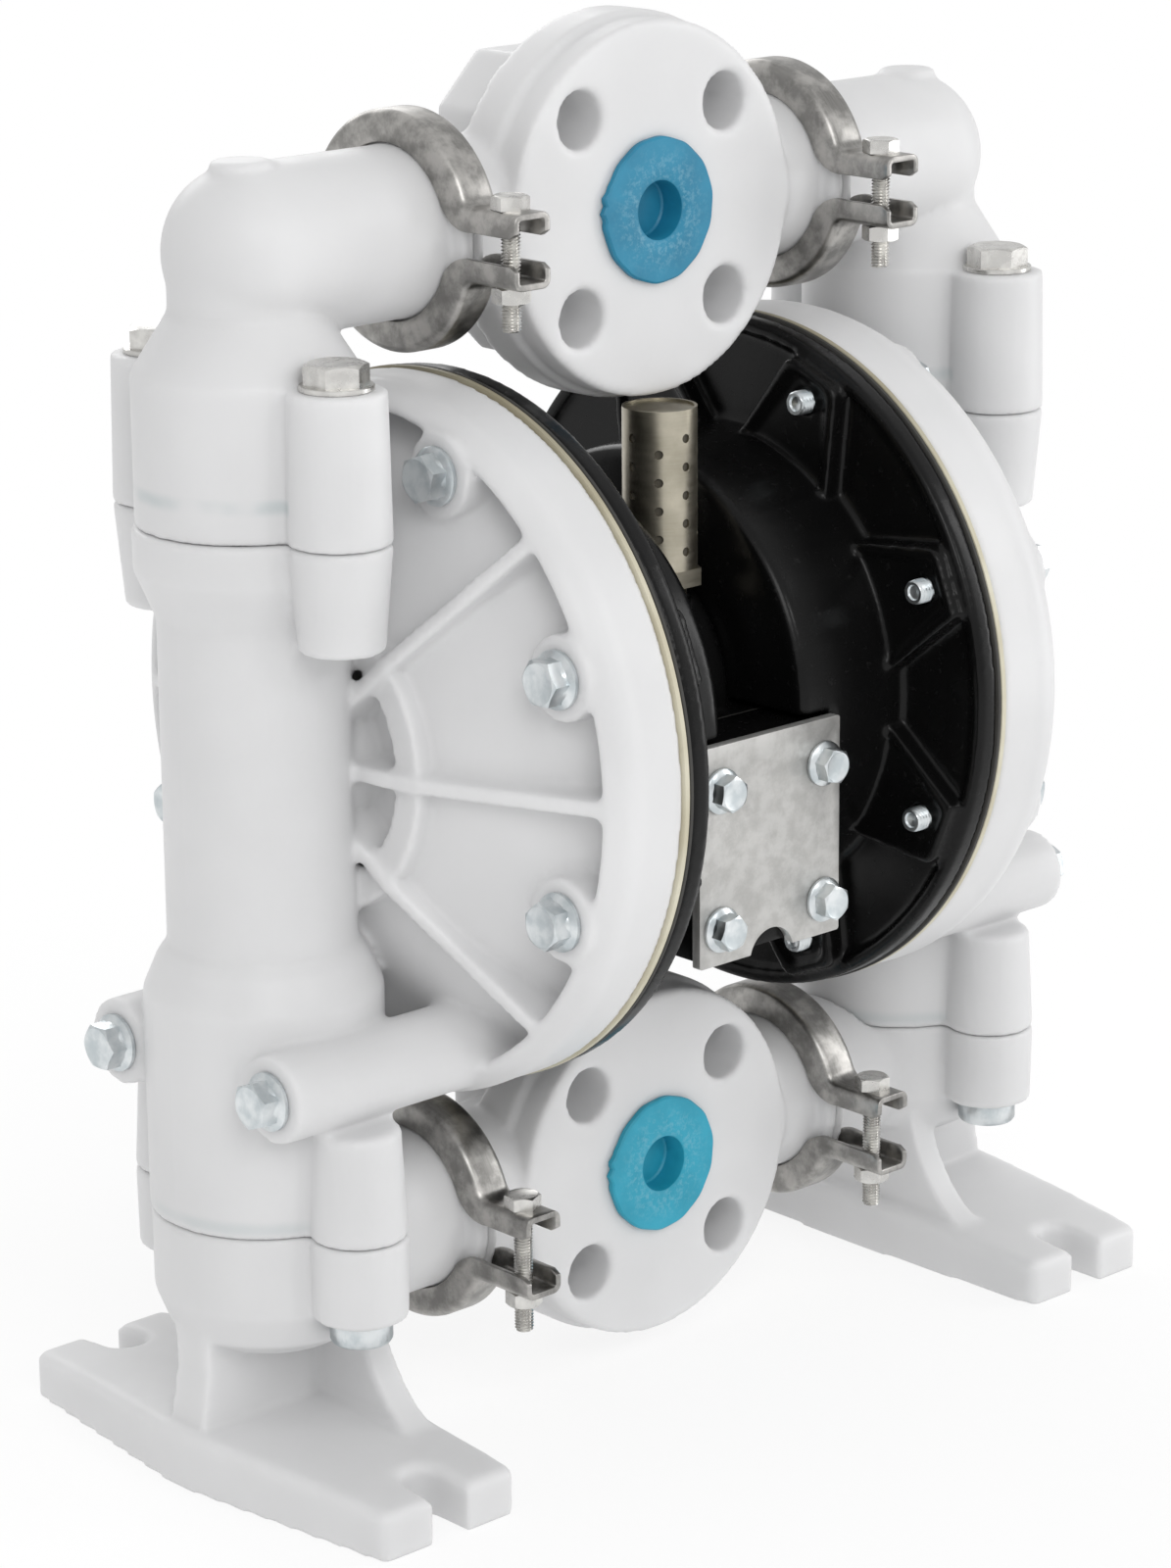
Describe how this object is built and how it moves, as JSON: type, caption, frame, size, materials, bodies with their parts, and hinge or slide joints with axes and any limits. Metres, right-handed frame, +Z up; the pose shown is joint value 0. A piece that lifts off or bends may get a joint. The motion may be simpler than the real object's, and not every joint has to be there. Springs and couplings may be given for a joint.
{
  "type": "air operated double diaphragm pump",
  "caption": "Compact air operated double diaphragm pump in plastic with flanged ports, clamped manifolds, ball valves and slotted feet.",
  "frame": {"origin": "on the floor, under the middle of the pump", "axes": "+X along the diaphragm rod, -Y towards the flanged ports, +Z up"},
  "size_m": [0.357, 0.223, 0.4345],
  "materials": {
    "polypropylene": "satin",
    "black_plastic": "gloss",
    "facing_elastomer": "matte",
    "rubber": "matte",
    "stainless": "satin",
    "zinc_plate": "satin",
    "plug_blue": "satin",
    "ball_elastomer": "matte",
    "seat_plastic": "satin",
    "plate_metal": "satin",
    "bush_bronze": "satin",
    "nickel": "satin",
    "filter": "matte"
  },
  "bodies": {
    "pump": {"left_fluid_cap": "polypropylene", "right_fluid_cap": "polypropylene", "left_outlet_elbow": "polypropylene", "right_outlet_elbow": "polypropylene", "left_foot_elbow": "polypropylene", "right_foot_elbow": "polypropylene", "outlet_tee": "polypropylene", "inlet_tee": "polypropylene", "left_air_cap": "black_plastic", "right_air_cap": "black_plastic", "centre_body": "black_plastic", "valve_block": "black_plastic", "left_spool_end_cap": "black_plastic", "right_spool_end_cap": "black_plastic", "left_diaphragm": "facing_elastomer", "right_diaphragm": "facing_elastomer", "left_backup_diaphragm": "rubber", "right_backup_diaphragm": "rubber", "left_rod_seal": "rubber", "right_rod_seal": "rubber", "seat_seals": "rubber", "valve_gasket": "rubber", "left_outlet_clamp_upper": "stainless", "left_outlet_clamp_lower": "stainless", "right_outlet_clamp_upper": "stainless", "right_outlet_clamp_lower": "stainless", "left_inlet_clamp_upper": "stainless", "left_inlet_clamp_lower": "stainless", "right_inlet_clamp_upper": "stainless", "right_inlet_clamp_lower": "stainless", "cover_plate": "stainless", "elbow_bolts": "stainless", "elbow_washers": "stainless", "clamp_bolts": "stainless", "clamp_nuts": "stainless", "left_cap_bolts": "zinc_plate", "right_cap_bolts": "zinc_plate", "cover_bolts": "zinc_plate", "foot_screws": "zinc_plate", "left_outlet_seat": "seat_plastic", "right_outlet_seat": "seat_plastic", "left_inlet_seat": "seat_plastic", "right_inlet_seat": "seat_plastic", "left_rod_bush": "bush_bronze", "right_rod_bush": "bush_bronze", "muffler_shell": "nickel", "muffler_nipple": "nickel", "muffler_element": "filter"},
    "rod": {"diaphragm_rod": "stainless", "left_inner_plate": "plate_metal", "right_inner_plate": "plate_metal", "left_outer_plate": "seat_plastic", "right_outer_plate": "seat_plastic"},
    "left_outlet_ball_body": {"left_outlet_ball": "ball_elastomer"},
    "right_outlet_ball_body": {"right_outlet_ball": "ball_elastomer"},
    "left_inlet_ball_body": {"left_inlet_ball": "ball_elastomer"},
    "right_inlet_ball_body": {"right_inlet_ball": "ball_elastomer"},
    "spool": {"valve_spool": "seat_plastic"},
    "outlet_plug": {"outlet_port_plug": "plug_blue"},
    "inlet_plug": {"inlet_port_plug": "plug_blue"}
  },
  "joints": [
    {"name": "rod_slide", "type": "slide", "parent": "pump", "child": "rod", "axis": [1, 0, 0], "range_m": [-0.008, 0.008], "deforming": ["left_diaphragm", "right_diaphragm", "left_backup_diaphragm", "right_backup_diaphragm"]},
    {"name": "left_outlet_ball_lift", "type": "slide", "parent": "pump", "child": "left_outlet_ball_body", "axis": [0, 0, 1], "range_m": [0, 0.008]},
    {"name": "right_outlet_ball_lift", "type": "slide", "parent": "pump", "child": "right_outlet_ball_body", "axis": [0, 0, 1], "range_m": [0, 0.008]},
    {"name": "left_inlet_ball_lift", "type": "slide", "parent": "pump", "child": "left_inlet_ball_body", "axis": [0, 0, 1], "range_m": [0, 0.008]},
    {"name": "right_inlet_ball_lift", "type": "slide", "parent": "pump", "child": "right_inlet_ball_body", "axis": [0, 0, 1], "range_m": [0, 0.008]},
    {"name": "spool_slide", "type": "slide", "parent": "pump", "child": "spool", "axis": [1, 0, 0], "range_m": [-0.006, 0.006]},
    {"name": "outlet_plug_pull", "type": "slide", "parent": "pump", "child": "outlet_plug", "axis": [0, -1, 0], "range_m": [0, 0.03]},
    {"name": "inlet_plug_pull", "type": "slide", "parent": "pump", "child": "inlet_plug", "axis": [0, -1, 0], "range_m": [0, 0.03]}
  ]
}
